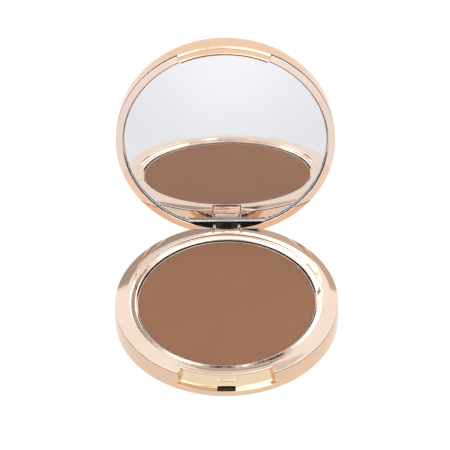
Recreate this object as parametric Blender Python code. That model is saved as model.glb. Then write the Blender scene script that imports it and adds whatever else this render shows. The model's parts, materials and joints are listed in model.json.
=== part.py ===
"""Round powder compact: a hinged clam with a mirror in the lid and a pan of pressed powder in the base.

Frame: metres, +Z up, origin at the centre of the flat underside, +Y towards the hinge, thumb notch
at -Y. The lid is drawn closed and hangs from an empty on the hinge axis, which holds it open.
"""

from math import atan2, cos, degrees, pi, radians, sin, sqrt

import bmesh
import bpy
from mathutils import Matrix, Vector

for old in list(bpy.data.objects):
    bpy.data.objects.remove(old, do_unlink=True)

# ---- driving dimensions, millimetres and degrees --------------------------------------------
# R_ is a radius about Z, _HALF a half width along X or a half angle about the front (-Y),
# _Y and _Z are places, and _LOW and _TOP are heights.
MM = 0.001                # one millimetre in metres
SEG_STEP = 5.0            # angle between facets of the turned shapes
ROD_SIDES = 24
SHARP_ANGLE = 30.0        # edges steeper than this are shaded sharp
FIT = 0.05                # clearance between fitted pieces
LID_FIT = 0.06            # clearance between the lid's shell and frame

HINGE_Y = 35.68           # hinge axis, along X
HINGE_Z = 3.74
LID_OPEN = 99.84          # lid angle in the open place; 0 is closed

SPLIT_Z = 8.12            # plane of the lid's rim face when closed
NOTCH_HALF = 25.4         # half angle of the thumb notch in the base
TAB_HALF = 24.9           # half angle of the lid's latch tab
TAB_SLOT_HALF = TAB_HALF + 0.3  # half angle of the gap in the lid frame that the tab passes

# base: outer cup
R_BASE = 38.0             # widest radius of the wall
R_BASE_TOP = 37.75        # radius at the parting line
R_SHELL_IN = 36.5         # inner radius of the wall
SHELL_TOP = 7.08          # upper edge of the wall
SHELL_FLOOR = 1.0         # thickness of the underside
LEDGE_Z = 2.3             # floor of the thumb notch
R_BACK_WALL = 35.4        # back wall of the thumb notch
R_LEDGE = R_BACK_WALL + FIT

# base: inner frame
FLANGE_LOW = SHELL_TOP + 0.07   # underside of the flange
R_SKIRT_OUT = R_SHELL_IN - FIT
R_SKIRT_IN = 34.2
SKIRT_TOP = 6.5           # underside of the rim between skirt and well
R_BAND_IN = 33.0          # inner edge of the wide rim band
BAND_IN_Z = 8.07
R_BAND_OUT = 37.45        # outer edge of the wide rim band
BAND_OUT_Z = 7.5
BAND_DOME = 1.6           # exponent of the band's fall towards its outer edge
RING_Z = 7.3              # lower ring inside the band
WELL_FLOOR_TOP = 2.8      # floor of the well that holds the pan
WELL_FLOOR_LOW = 2.0

# pan, powder and adhesive
R_PAN = 30.3
R_WELL = R_PAN + 0.35
R_WELL_OUT = R_WELL + 1.2
PAN_WALL = 0.35
PAN_LOW = 3.1
PAN_FLOOR = 0.4
PAN_TOP = 6.65
R_POWDER = 29.88
POWDER_TOP = 6.76
R_ADHESIVE = 27.0

# label in a shallow recess of the underside
R_LABEL = 26.0
R_RECESS = R_LABEL + 0.2
LABEL_THICK = 0.15

# lid, closed place
R_LID = 37.68             # radius at the rim
R_LID_IN = 36.5           # outer radius of the frame's upper part
R_LID_SHELL_IN = R_LID_IN + LID_FIT
LID_FLANGE_TOP = 8.5
LID_SHELL_LOW = LID_FLANGE_TOP + LID_FIT
LID_TOP = 15.75           # crown of the outside
CEILING_Z = LID_TOP - 1.25       # inside of the crown, at the centre
CEILING_EDGE_Z = LID_TOP - 1.4   # inside of the crown, at the wall
R_OPENING = 35.3          # opening in the rim face around the mirror
PLATE_LOW = 10.55         # face of the plate behind the mirror
PLATE_TOP = 11.5
R_TAB_IN = 36.1
R_TAB_OUT = 37.1
TAB_LOW = 4.85

# mirror and the foam pad behind it
R_MIRROR = 34.95
MIRROR_CHORD_Y = 32.5     # straight edge towards the hinge
MIRROR_FRONT = 8.67
MIRROR_BACK = 10.07
R_PAD = 35.15
PAD_CUT_Y = 32.85         # front edge of the pad's cutout round the lug

# hinge
LUG_HALF = 4.8            # half width of the lid's hinge lug
R_LUG = 2.4               # barrel radius of the lug, about the hinge axis
LUG_BARREL_STEP = 11.0    # angle between the barrel's points
LUG_BARREL_POINTS = 13
LUG_BACK_Y = 37.35
LUG_NECK_Y = 35.9         # back of the lug above its shoulder
LUG_SHOULDER_Z = 8.4
LUG_TOP = 10.8
LUG_WALL = 1.1            # side walls left by the coring
GAP_HALF = LUG_HALF + 0.25      # half width of the base's hinge gap
GAP_FRONT_Y = 33.0
GAP_FLOOR = 1.1
EAR_HALF = 7.2            # half width of the base's block of hinge ears
PIN_RADIUS = 0.5
PIN_HALF = 6.9
BORE_RADIUS = 0.56
BASE_BORE_HALF = 8.6
LUG_BORE_RADIUS = BORE_RADIUS + 0.01
LUG_BORE_HALF = LUG_HALF + 1.0

# sloped relief across the back of the base: its plane passes through (RELIEF_Y, RELIEF_Z)
RELIEF_Y = 35.9
RELIEF_Z = 7.8
RELIEF_SLOPE = 0.94       # fall per unit of Y
RELIEF_HALF = 14.0

# catch bead on the back wall of the notch, and the moulding slot in the notch floor under it
BEAD_HALF = 3.05
BEAD_Y = -35.8            # front face of the bead
BEAD_ROOT_Y = -R_BACK_WALL + 0.4
BEAD_LOW = 4.7
BEAD_TOP = 5.85
BEAD_CHAMFER_Y = 0.15
BEAD_CHAMFER_Z = 0.2
SLOT_FRONT_Y = -37.55
SLOT_LOW = 1.15


# ---- materials ------------------------------------------------------------------------------
def material(name, colour, roughness, metallic):
    mat = bpy.data.materials.new(name)
    mat.use_nodes = True
    inputs = mat.node_tree.nodes["Principled BSDF"].inputs
    inputs["Base Color"].default_value = (*colour, 1.0)
    inputs["Roughness"].default_value = roughness
    inputs["Metallic"].default_value = metallic
    return mat


ROSE = material(
    "rose_gold_metallised", colour=(0.84, 0.57, 0.40), roughness=0.08, metallic=1.0)
PALE = material(
    "pale_rose_gold_metallised", colour=(0.91, 0.77, 0.67), roughness=0.06, metallic=1.0)
GLASS = material("mirror_glass", colour=(0.92, 0.92, 0.94), roughness=0.02, metallic=1.0)
POWDER = material("pressed_powder", colour=(0.36, 0.17, 0.10), roughness=0.9, metallic=0.0)
ALUMINIUM = material("pan_aluminium", colour=(0.75, 0.73, 0.71), roughness=0.3, metallic=1.0)
STEEL = material("hinge_steel", colour=(0.6, 0.6, 0.62), roughness=0.25, metallic=1.0)
GLUE = material("adhesive", colour=(0.85, 0.83, 0.78), roughness=0.6, metallic=0.0)
FOAM = material("black_foam", colour=(0.03, 0.03, 0.03), roughness=0.9, metallic=0.0)
PAPER = material("label_paper", colour=(0.9, 0.88, 0.85), roughness=0.5, metallic=0.0)
CUTTER = material("cutter", colour=(0.5, 0.5, 0.5), roughness=0.5, metallic=0.0)


# ---- mesh helpers ---------------------------------------------------------------------------
def finish_mesh(name, bm, mat):
    """Clean the mesh and link it to the scene as an object."""
    bmesh.ops.remove_doubles(bm, verts=bm.verts[:], dist=1e-7)
    bmesh.ops.dissolve_degenerate(bm, edges=bm.edges[:], dist=1e-8)
    bmesh.ops.recalc_face_normals(bm, faces=bm.faces[:])
    mesh = bpy.data.meshes.new(name)
    bm.to_mesh(mesh)
    bm.free()
    mesh.materials.append(mat)
    mesh.shade_smooth()
    mesh.set_sharp_from_angle(angle=radians(SHARP_ANGLE))
    ob = bpy.data.objects.new(name, mesh)
    bpy.context.scene.collection.objects.link(ob)
    return ob


def stations(edge=None):
    """Facet angles all the way round, from -180 at the back through 0 at the front (-Y).
    The station next to a notch or tab end moves onto it."""
    angles = []
    for i in range(round(360 / SEG_STEP)):
        angle = -180 + i * SEG_STEP
        if edge is not None and abs(abs(angle) - edge) < SEG_STEP / 2:
            angle = edge if angle > 0 else -edge
        angles.append(angle)
    return angles


def turned(name, normal, mat, special=None, edge=None):
    """A turned solid from a (radius, height) outline that starts and ends on the axis.
    Between -edge and +edge degrees of the front it takes the outline special instead,
    which has as many points. Both outlines stand at each end, and form the end walls."""
    rows = []
    for angle in stations(edge):
        if edge is None or abs(angle) > edge:
            outlines = [normal]
        elif abs(angle) < edge:
            outlines = [special]
        elif angle < 0:
            outlines = [normal, special]
        else:
            outlines = [special, normal]
        rows += [(radians(angle), outline) for outline in outlines]
    bm = bmesh.new()
    grid = [
        [bm.verts.new((r * sin(a) * MM, -r * cos(a) * MM, z * MM)) for r, z in outline]
        for a, outline in rows
    ]
    for i, row in enumerate(grid):
        following = grid[(i + 1) % len(grid)]
        for j in range(len(normal) - 1):
            bm.faces.new((row[j], row[j + 1], following[j + 1], following[j]))
    return finish_mesh(name, bm, mat)


def extruded(name, start, end, mat):
    """A solid between two matching loops of (x, y, z) points."""
    bm = bmesh.new()
    first, last = (
        [bm.verts.new((x * MM, y * MM, z * MM)) for x, y, z in loop] for loop in (start, end))
    bm.faces.new(first)
    bm.faces.new(last)
    for i in range(len(first)):
        j = (i + 1) % len(first)
        bm.faces.new((first[i], first[j], last[j], last[i]))
    return finish_mesh(name, bm, mat)


def prism_x(name, outline, half, mat=CUTTER):
    """A (y, z) outline extruded along X from -half to +half."""
    return extruded(
        name, [(-half, y, z) for y, z in outline], [(half, y, z) for y, z in outline], mat)


def rod_x(name, radius, half, mat=CUTTER):
    """A rod on the hinge axis."""
    angles = [2 * pi * i / ROD_SIDES for i in range(ROD_SIDES)]
    outline = [(HINGE_Y + radius * cos(a), HINGE_Z + radius * sin(a)) for a in angles]
    return prism_x(name, outline, half, mat)


def flat_disc(name, radius, low, top, mat, chord_y=None):
    """A disc, with a straight edge at y = chord_y when one is given."""
    if chord_y is None:
        angles = stations()
    else:
        half = degrees(atan2(sqrt(radius * radius - chord_y * chord_y), -chord_y))
        count = int(2 * half / SEG_STEP)
        angles = [-half + 2 * half * i / count for i in range(count + 1)]
    points = [(radius * sin(radians(a)), -radius * cos(radians(a))) for a in angles]
    return extruded(name, [(x, y, low) for x, y in points], [(x, y, top) for x, y in points], mat)


def box(name, low, high):
    """A helper block between two opposite corners."""
    bm = bmesh.new()
    bmesh.ops.create_cube(bm, size=1.0)
    for vert in bm.verts:
        vert.co = Vector(
            ((low[i] + high[i]) / 2 + vert.co[i] * (high[i] - low[i])) * MM for i in range(3))
    return finish_mesh(name, bm, CUTTER)


def boolean(ob, tool, operation):
    tool.hide_render = True
    tool.display_type = "WIRE"
    mod = ob.modifiers.new(operation.lower() + "_" + tool.name, "BOOLEAN")
    mod.operation = operation
    mod.solver = "EXACT"
    mod.object = tool


# ---- base -----------------------------------------------------------------------------------
def build_rear_relief():
    """Wedge that slopes off the back of the base."""
    front_y, back_y, top = 35.0, 38.8, 9.6
    outline = [(y, RELIEF_Z - RELIEF_SLOPE * (y - RELIEF_Y)) for y in (front_y, back_y)]
    outline += [(39.6, top), (front_y, top)]
    return prism_x("rear_relief", outline, RELIEF_HALF)


def build_base_shell(gap, relief):
    """Outer cup, with its wall cut down to the ledge at the notch."""
    # outlines: (radius, height)
    inside = [(0, SHELL_FLOOR), (R_LEDGE, SHELL_FLOOR), (R_LEDGE, LEDGE_Z), (R_SHELL_IN, LEDGE_Z)]
    wall = [
        (R_SHELL_IN, SHELL_TOP), (R_BASE_TOP - 0.07, SHELL_TOP), (R_BASE_TOP, SHELL_TOP - 0.08),
        (R_BASE - 0.05, 4.8), (R_BASE, 2.6),
    ]
    notch_wall = [
        (36.8, LEDGE_Z), (37.3, LEDGE_Z), (R_BASE - 0.12, LEDGE_Z),
        (R_BASE - 0.01, LEDGE_Z - 0.12), (R_BASE, 1.4),
    ]
    underside = [
        (R_BASE - 0.02, 0.6), (R_BASE - 0.15, 0.2), (R_BASE - 0.55, 0),
        (R_RECESS, 0), (R_RECESS, LABEL_THICK + FIT), (0, LABEL_THICK + FIT),
    ]
    shell = turned("base_shell", inside + wall + underside, ROSE,
                   inside + notch_wall + underside, NOTCH_HALF)

    pocket_half = EAR_HALF + 0.15
    ear_pocket = box(
        "ear_pocket", (-pocket_half, 33.6, GAP_FLOOR - 0.02), (pocket_half, R_SKIRT_OUT, 8.4))
    mould_slot = box(
        "mould_slot", (-BEAD_HALF, SLOT_FRONT_Y, SLOT_LOW),
        (BEAD_HALF, -R_BACK_WALL + 0.1, LEDGE_Z + 1.0))
    for tool in (ear_pocket, gap, relief, mould_slot):
        boolean(shell, tool, "DIFFERENCE")


def band_z(radius):
    """Height of the wide, gently domed rim band."""
    t = (radius - R_BAND_IN) / (R_BAND_OUT - R_BAND_IN)
    return BAND_IN_Z - (BAND_IN_Z - BAND_OUT_Z) * t**BAND_DOME


def build_catch_bead():
    outline = [
        (BEAD_ROOT_Y, BEAD_TOP), (BEAD_Y + BEAD_CHAMFER_Y, BEAD_TOP),
        (BEAD_Y, BEAD_TOP - BEAD_CHAMFER_Z), (BEAD_Y, BEAD_LOW + BEAD_CHAMFER_Z),
        (BEAD_Y + BEAD_CHAMFER_Y, BEAD_LOW), (BEAD_ROOT_Y, BEAD_LOW),
    ]
    return prism_x("catch_block", outline, BEAD_HALF)


def build_base_frame(gap, relief):
    """Inner frame: rim band, pan well, notch back wall, catch bead and hinge ears."""
    # outlines: (radius, height)
    well_and_band = [
        (0, WELL_FLOOR_TOP), (R_WELL, WELL_FLOOR_TOP), (R_WELL, RING_Z - 0.25),
        (R_WELL + 0.18, RING_Z - 0.05), (R_WELL + 0.45, RING_Z + 0.02), (32.35, RING_Z),
        (32.55, RING_Z + 0.12), (32.62, BAND_IN_Z - 0.14), (R_BAND_IN, BAND_IN_Z),
        (34.2, band_z(34.2)), (35.2, band_z(35.2)),
    ]
    flange = [
        (36.4, band_z(36.4)), (R_BAND_OUT, BAND_OUT_Z), (R_BASE_TOP - 0.05, BAND_OUT_Z - 0.12),
        (R_BASE_TOP, FLANGE_LOW), (R_SKIRT_OUT, FLANGE_LOW), (R_SKIRT_OUT, LEDGE_Z + FIT),
    ]
    notch_wall = [(R_BACK_WALL, z) for z in (7.7, 6.8, 5.9, 5.0, 4.1, 3.2)]
    skirt_and_floor = [
        (R_BACK_WALL, LEDGE_Z + FIT), (R_BACK_WALL, SHELL_FLOOR + FIT),
        (R_SKIRT_IN, SHELL_FLOOR + FIT), (R_SKIRT_IN, SKIRT_TOP), (R_WELL_OUT, SKIRT_TOP),
        (R_WELL_OUT, WELL_FLOOR_LOW), (0, WELL_FLOOR_LOW),
    ]
    frame = turned("base_frame", well_and_band + flange + skirt_and_floor, PALE,
                   well_and_band + notch_wall + skirt_and_floor, NOTCH_HALF)

    ears = box("ears_block", (-EAR_HALF, 31.2, 1.15), (EAR_HALF, 36.3, 7.35))
    for tool in (ears, build_catch_bead()):
        boolean(frame, tool, "UNION")
    for tool in (gap, relief, rod_x("base_bore", BORE_RADIUS, BASE_BORE_HALF)):
        boolean(frame, tool, "DIFFERENCE")


# ---- pan and powder -------------------------------------------------------------------------
def build_pan():
    pan_in = R_PAN - PAN_WALL
    turned("powder_pan", [
        (0, PAN_LOW), (R_PAN - 0.4, PAN_LOW), (R_PAN, PAN_LOW + 0.4), (R_PAN, PAN_TOP - 0.06),
        (R_PAN - 0.08, PAN_TOP), (pan_in + 0.06, PAN_TOP), (pan_in, PAN_TOP - 0.06),
        (pan_in, PAN_LOW + PAN_FLOOR), (0, PAN_LOW + PAN_FLOOR),
    ], ALUMINIUM)


def build_powder():
    low = PAN_LOW + PAN_FLOOR + FIT
    turned("pressed_powder", [
        (0, low), (R_POWDER, low), (R_POWDER, POWDER_TOP - 0.22),
        (R_POWDER - 0.12, POWDER_TOP - 0.05), (R_POWDER - 0.45, POWDER_TOP), (0, POWDER_TOP),
    ], POWDER)


# ---- lid, drawn closed ----------------------------------------------------------------------
def build_lid_shell():
    """Outer lid. At the front its wall grows down past the rim into the latch tab,
    set back a little from the wall."""
    # outlines: (radius, height)
    outside = [
        (0, LID_TOP), (12, LID_TOP - 0.04), (24, LID_TOP - 0.16), (32, LID_TOP - 0.28),
        (36.3, LID_TOP - 0.38), (37.1, LID_TOP - 0.62), (37.5, LID_TOP - 1.15),
        (37.65, LID_TOP - 2.2), (37.72, 11.0),
    ]
    edge = [(R_LID, LID_SHELL_LOW + 0.06)]
    edge += [(r, LID_SHELL_LOW) for r in (R_LID - 0.08, 37.4, 37.2, 37.0, 36.8, R_LID_SHELL_IN)]
    edge += [(R_LID_SHELL_IN, CEILING_EDGE_Z)]
    tab = [
        (R_LID, SPLIT_Z + 0.2), (R_LID - 0.1, SPLIT_Z), (R_TAB_OUT, SPLIT_Z - 0.1),
        (R_TAB_OUT, TAB_LOW + 0.12), (R_TAB_OUT - 0.12, TAB_LOW), (R_TAB_IN + 0.1, TAB_LOW),
        (R_TAB_IN, TAB_LOW + 0.1), (R_TAB_IN, CEILING_EDGE_Z),
    ]
    centre = [(0, CEILING_Z)]
    return turned("lid_shell", outside + edge + centre, ROSE, outside + tab + centre, TAB_HALF)


def build_lug():
    """Hinge lug: a barrel round the axis that grows up into the lid frame."""
    outline = [(HINGE_Y - R_LUG, LUG_TOP)]
    for i in range(LUG_BARREL_POINTS):
        angle = radians(180 + i * LUG_BARREL_STEP)
        outline.append((HINGE_Y + R_LUG * cos(angle), HINGE_Z + R_LUG * sin(angle)))
    outline += [
        (LUG_BACK_Y, HINGE_Z - sqrt(R_LUG**2 - (LUG_BACK_Y - HINGE_Y) ** 2)),
        (LUG_BACK_Y, LUG_SHOULDER_Z), (LUG_NECK_Y, LUG_SHOULDER_Z), (LUG_NECK_Y, LUG_TOP),
    ]
    return prism_x("lug_block", outline, LUG_HALF)


def build_lid_frame():
    """Rim face, plate behind the mirror and hinge lug. Returns the frame and its helpers."""
    # outlines: (radius, height)
    opening = [
        (0, PLATE_LOW), (R_OPENING, PLATE_LOW), (R_OPENING, SPLIT_Z + 0.08),
        (R_OPENING + 0.08, SPLIT_Z),
    ]
    rim = [
        (R_LID - 0.23, SPLIT_Z), (R_LID - 0.06, SPLIT_Z + 0.08), (R_LID, SPLIT_Z + 0.2),
        (R_LID, LID_FLANGE_TOP), (R_LID_IN, LID_FLANGE_TOP), (R_LID_IN, PLATE_TOP),
    ]
    # behind the tab the frame stops short, so that the tab can pass it
    r_short = R_TAB_IN - FIT
    short_rim = [
        (r_short - 0.06, SPLIT_Z), (r_short, SPLIT_Z + 0.06), (r_short, SPLIT_Z + 0.2),
        (r_short, SPLIT_Z + 0.35), (r_short, LID_FLANGE_TOP + 0.1), (r_short, PLATE_TOP),
    ]
    centre = [(0, PLATE_TOP)]
    frame = turned("lid_frame", opening + rim + centre, PALE,
                   opening + short_rim + centre, TAB_SLOT_HALF)

    lug = build_lug()
    # the core hollows the lug from its front; outline: (y, z)
    core_outline = [(32.9, 4.4), (34.8, 5.2), (35.6, 6.0), (35.6, 10.75), (32.9, 10.75)]
    core = prism_x("lug_core", core_outline, LUG_HALF - LUG_WALL)
    bore = rod_x("lug_bore", LUG_BORE_RADIUS, LUG_BORE_HALF)
    boolean(frame, lug, "UNION")
    boolean(frame, core, "DIFFERENCE")
    boolean(frame, bore, "DIFFERENCE")
    return [frame, lug, core, bore]


def build_mirror():
    return flat_disc("mirror", R_MIRROR, MIRROR_FRONT, MIRROR_BACK, GLASS, MIRROR_CHORD_Y)


def build_foam_pad():
    """Pad behind the mirror, cut out round the lug. Returns the pad and its cutter."""
    pad = flat_disc("foam_pad", R_PAD, MIRROR_BACK + FIT, PLATE_LOW - FIT, FOAM)
    half = LUG_HALF + 0.2
    cut = box("pad_cut", (-half, PAD_CUT_Y, MIRROR_BACK - 1.0), (half, 36.5, PLATE_LOW + 1.0))
    boolean(pad, cut, "DIFFERENCE")
    return [pad, cut]


def hang_on_hinge(pieces):
    """Move the pieces' origins to the hinge axis and swing them open with an empty there."""
    hinge = Vector((0.0, HINGE_Y * MM, HINGE_Z * MM))
    axis = bpy.data.objects.new("hinge_axis", None)
    bpy.context.scene.collection.objects.link(axis)
    axis.location = hinge
    axis.rotation_euler = (radians(-LID_OPEN), 0.0, 0.0)
    for piece in pieces:
        piece.data.transform(Matrix.Translation(-hinge))
        piece.parent = axis


# ---- assembly -------------------------------------------------------------------------------
hinge_gap = box("hinge_gap", (-GAP_HALF, GAP_FRONT_Y, GAP_FLOOR), (GAP_HALF, 39.5, 9.5))
rear_relief = build_rear_relief()
build_base_shell(hinge_gap, rear_relief)
build_base_frame(hinge_gap, rear_relief)
build_pan()
build_powder()
flat_disc("pan_adhesive", R_ADHESIVE, WELL_FLOOR_TOP + FIT, PAN_LOW - FIT, GLUE)
flat_disc("base_label", R_LABEL, 0.0, LABEL_THICK, PAPER)
rod_x("hinge_pin", PIN_RADIUS, PIN_HALF, STEEL)
hang_on_hinge([build_lid_shell(), *build_lid_frame(), build_mirror(), *build_foam_pad()])
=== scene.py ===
"""A round powder compact standing on the floor with its lid swung open.

The compact is centred on the Z axis. Its front, with a notch and a catch bead, faces -Y; the hinge is
at the back (+Y) with its pin along X. Lid pieces are drawn closed, then swung open about the pin.
Dimensions are millimetres unless noted, turned into metres as vertices are made. Section paths are
(r, z) points. Base pieces ride on "base", lid pieces on "lid".
"""

import json
import math

import bpy
import bmesh
import numpy as np
from mathutils import Matrix, Vector


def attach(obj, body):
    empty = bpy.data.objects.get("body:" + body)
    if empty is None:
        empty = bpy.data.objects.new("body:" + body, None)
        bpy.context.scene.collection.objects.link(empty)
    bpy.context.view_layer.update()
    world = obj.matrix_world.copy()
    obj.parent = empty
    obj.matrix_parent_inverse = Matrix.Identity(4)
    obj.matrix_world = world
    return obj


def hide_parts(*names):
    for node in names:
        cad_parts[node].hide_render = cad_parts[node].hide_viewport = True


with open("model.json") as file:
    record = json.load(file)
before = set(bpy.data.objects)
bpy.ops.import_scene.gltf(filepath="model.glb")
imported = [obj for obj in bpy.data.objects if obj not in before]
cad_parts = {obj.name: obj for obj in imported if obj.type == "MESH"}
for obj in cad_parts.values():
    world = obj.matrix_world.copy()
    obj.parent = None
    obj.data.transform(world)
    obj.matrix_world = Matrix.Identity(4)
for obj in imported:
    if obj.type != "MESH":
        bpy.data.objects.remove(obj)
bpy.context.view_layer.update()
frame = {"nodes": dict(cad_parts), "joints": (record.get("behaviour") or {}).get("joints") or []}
for stray in ("Cube", "Light", "Camera"):      # Blender's start-up scene, if it is there
    if stray in bpy.data.objects:
        bpy.data.objects.remove(bpy.data.objects[stray], do_unlink=True)

sin, cos, pi, sqrt = math.sin, math.cos, math.pi, math.sqrt
rad, degrees = math.radians, math.degrees

MM = 0.001
joint = frame["joints"][0]
PIN_Y, PIN_Z = joint["pos_m"][1] / MM, joint["pos_m"][2] / MM
OPEN = rad(joint["range_deg"][1])
pin = Matrix.Translation((0, PIN_Y * MM, PIN_Z * MM))
LID_POSE = pin @ Matrix.Rotation(-OPEN, 4, "X") @ pin.inverted()

OUTER_R = 38.0              # the cup's outer radius
SPLIT_Z = 8.12              # underside of the closed lid's frame

# stations near the hinge turn from radial planes to planes across X
BLEND_X = 12.0              # half width of that zone, at OUTER_R
BLEND_IN = 30.0             # inside this radius a station is radial
BLEND_IN_X = BLEND_IN * BLEND_X / OUTER_R
EDGE_R = 37.0               # radius at which the rounding of a notch edge is turned into an angle
SUPPORT = 0.03              # distance from an arc's end to its support point


# =============================================================================================
# section paths
# =============================================================================================
def rounded_path(corners, segments=4):
    """(r, z, radius) corners to a path with true arcs, and a support point each side of every arc,
    so that flat faces keep flat normals. Every corner gives segments + 3 points."""
    path = []
    for i, (r, z, radius) in enumerate(corners):
        corner = np.array((r, z), float)
        plain = [tuple(corner)] * (segments + 3)
        if i == 0 or i == len(corners) - 1 or radius <= 0:
            path += plain
            continue
        to_last = np.array(corners[i - 1][:2], float) - corner
        to_next = np.array(corners[i + 1][:2], float) - corner
        last_len, next_len = np.linalg.norm(to_last), np.linalg.norm(to_next)
        to_last, to_next = to_last / last_len, to_next / next_len
        angle = math.acos(max(-1, min(1, float(to_last @ to_next))))
        if angle > pi - 1e-3:
            path += plain
            continue
        tangent = min(radius / math.tan(angle / 2), 0.48 * last_len, 0.48 * next_len)
        arc_r = tangent * math.tan(angle / 2)
        bisector = to_last + to_next
        centre = corner + bisector / np.linalg.norm(bisector) * (arc_r / sin(angle / 2))
        start, end = corner + to_last * tangent, corner + to_next * tangent
        lead = min(SUPPORT, 0.3 * tangent)
        from_y, from_x = (start - centre)[1], (start - centre)[0]
        first = math.atan2(from_y, from_x)
        final = math.atan2((end - centre)[1], (end - centre)[0])
        sweep = (final - first + pi) % (2 * pi) - pi
        path.append(tuple(start + to_last * lead))
        for j in range(segments + 1):
            turn = first + sweep * j / segments
            path.append((centre[0] + arc_r * cos(turn), centre[1] + arc_r * sin(turn)))
        path.append(tuple(end + to_next * lead))
    return path


def bends(corners, segments=4):
    """A rounded path without its first and last corner, which only give it direction."""
    return rounded_path(corners, segments)[segments + 3:-(segments + 3)]


def curve(height, r0, r1, count=14):
    radii = [r0 + (r1 - r0) * i / (count - 1) for i in range(count)]
    return [(r, height(r)) for r in radii]


def offset_in(path, distance, first, stop):
    """The path with points first..stop moved into the solid."""
    points = np.array(path, float)
    moved = points.copy()
    for i in range(first, stop):
        before = after = i
        while before > 0 and np.linalg.norm(points[before] - points[i]) < 1e-6:
            before -= 1
        while after < len(points) - 1 and np.linalg.norm(points[after] - points[i]) < 1e-6:
            after += 1
        along = points[after] - points[before]
        length = np.linalg.norm(along)
        if length < 1e-9:
            continue
        moved[i] = points[i] + np.array((along[1], -along[0])) / length * distance
    return [tuple(p) for p in moved]


# =============================================================================================
# stations round the ring
# =============================================================================================
def radial(phi):
    """Station at phi degrees from the front, + to +X."""
    s, c = sin(rad(phi)), cos(rad(phi))
    return lambda r, z: (r * s, -r * c, z)


def planar(x_in, x_out):
    """Station near the hinge: a plane from x_in at BLEND_IN to x_out at OUTER_R."""

    def place(r, z):
        if r <= BLEND_IN:
            angle = math.asin(x_in / BLEND_IN)
            return (r * sin(angle), r * cos(angle), z)
        x = x_in + (x_out - x_in) * (r - BLEND_IN) / (OUTER_R - BLEND_IN)
        return (x, sqrt(max(r * r - x * x, 0)), z)

    return place


def ring_sections(plain, front=None, front_half=None, back=None, back_half=None, step=0.75,
                  edge=0.0, front_span=(0, 0), back_span=(0, 0), adjust=None):
    """Rows of points round the ring. plain is the usual path; front(phi) gives it within front_half
    degrees of the front, back(x) within back_half of the hinge's middle. Beside a notch, the points
    of plain in the span are set back to round the convex edge by the radius edge."""
    rows = []

    def add(station, path):
        points = [station(r, z) for r, z in path]
        rows.append([adjust(*p) for p in points] if adjust else points)

    # (distance outside the notch's end plane, set-back) over the rounded edge
    turns = [i / 5 * pi / 2 for i in range(6)]
    rounding = [(edge * (1 - sin(a)), edge * (1 - cos(a))) for a in turns]

    # radial part, from the -X side of the hinge round the front to the +X side
    limit = 180.0 - (degrees(math.asin(BLEND_X / OUTER_R)) if back else 0.0)
    count = int(round(2 * limit / step))
    angles = [-limit + 2 * limit * i / count for i in range(count + (1 if back else 0))]
    if front:
        margins = (0.35, 0.6, 1.0)
        clear = front_half + 1.2
        corner = [(front_half + degrees(d / EDGE_R), setback) for d, setback in rounding]
        for phi in [p for p in angles if p < -clear] + [-front_half - d for d in margins[::-1]]:
            add(radial(phi), plain)
        for phi, setback in corner:
            add(radial(-phi), offset_in(plain, setback, *front_span))
        count = int(round(2 * front_half / (step * 0.5)))
        for i in range(count + 1):
            phi = -front_half + 2 * front_half * i / count
            add(radial(phi), front(phi))
        for phi, setback in reversed(corner):
            add(radial(phi), offset_in(plain, setback, *front_span))
        for phi in [front_half + d for d in margins] + [p for p in angles if p > clear]:
            add(radial(phi), plain)
    else:
        for phi in angles:
            add(radial(phi), plain)

    # planar part, from the +X side over the hinge to the -X side
    if back:
        near = back_half + 0.4
        side = [(BLEND_IN_X + (near - BLEND_IN_X) * i / 24, BLEND_X + (near - BLEND_X) * i / 24, 0.0)
                for i in range(1, 24)]
        side += [(back_half + d, back_half + d, setback) for d, setback in rounding]
        for x_in, x_out, setback in side:
            add(planar(x_in, x_out), offset_in(plain, setback, *back_span))
        for i in range(25):
            x = back_half - 2 * back_half * i / 24
            add(planar(x, x), back(x))
        for x_in, x_out, setback in reversed(side):
            add(planar(-x_in, -x_out), offset_in(plain, setback, *back_span))
    return rows


# =============================================================================================
# mesh helpers
# =============================================================================================
def add_points(bm, points):
    return [bm.verts.new((x * MM, y * MM, z * MM)) for x, y, z in points]


def bridge(bm, a, b, closed=True):
    """Quads between two rows of vertices."""
    for i in range(len(a) if closed else len(a) - 1):
        j = (i + 1) % len(a)
        bm.faces.new((a[i], a[j], b[j], b[i]))


def smooth(mesh, sharp):
    mesh.shade_smooth()
    mesh.set_sharp_from_angle(angle=rad(sharp))


def link_mesh(name, mesh):
    ob = bpy.data.objects.new(name, mesh)
    bpy.context.scene.collection.objects.link(ob)
    return ob


def to_object(name, bm, sharp=32.0):
    """The bmesh as an object, shaded smooth but for edges over sharp degrees."""
    mesh = bpy.data.meshes.new(name)
    bm.to_mesh(mesh)
    bm.free()
    smooth(mesh, sharp)
    return link_mesh(name, mesh)


def loft(name, rows, closed_path=False):
    """Rows of points to a mesh, closed round the ring."""
    bm = bmesh.new()
    grid = [add_points(bm, row) for row in rows]
    for i, row in enumerate(grid):
        bridge(bm, row, grid[(i + 1) % len(grid)], closed_path)
    bmesh.ops.remove_doubles(bm, verts=bm.verts[:], dist=2e-7)
    bmesh.ops.dissolve_degenerate(bm, edges=bm.edges[:], dist=1e-8)
    bmesh.ops.recalc_face_normals(bm, faces=bm.faces[:])
    return to_object(name, bm)


def stack(name, outlines, sharp, capped=True):
    """Outlines of points joined one to the next, with flat caps if capped."""
    bm = bmesh.new()
    loops = [add_points(bm, points) for points in outlines]
    for a, b in zip(loops, loops[1:]):
        bridge(bm, a, b)
    if capped:
        bm.faces.new(loops[0])
        bm.faces.new(loops[-1])
    bmesh.ops.recalc_face_normals(bm, faces=bm.faces[:])
    return to_object(name, bm, sharp)


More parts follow.
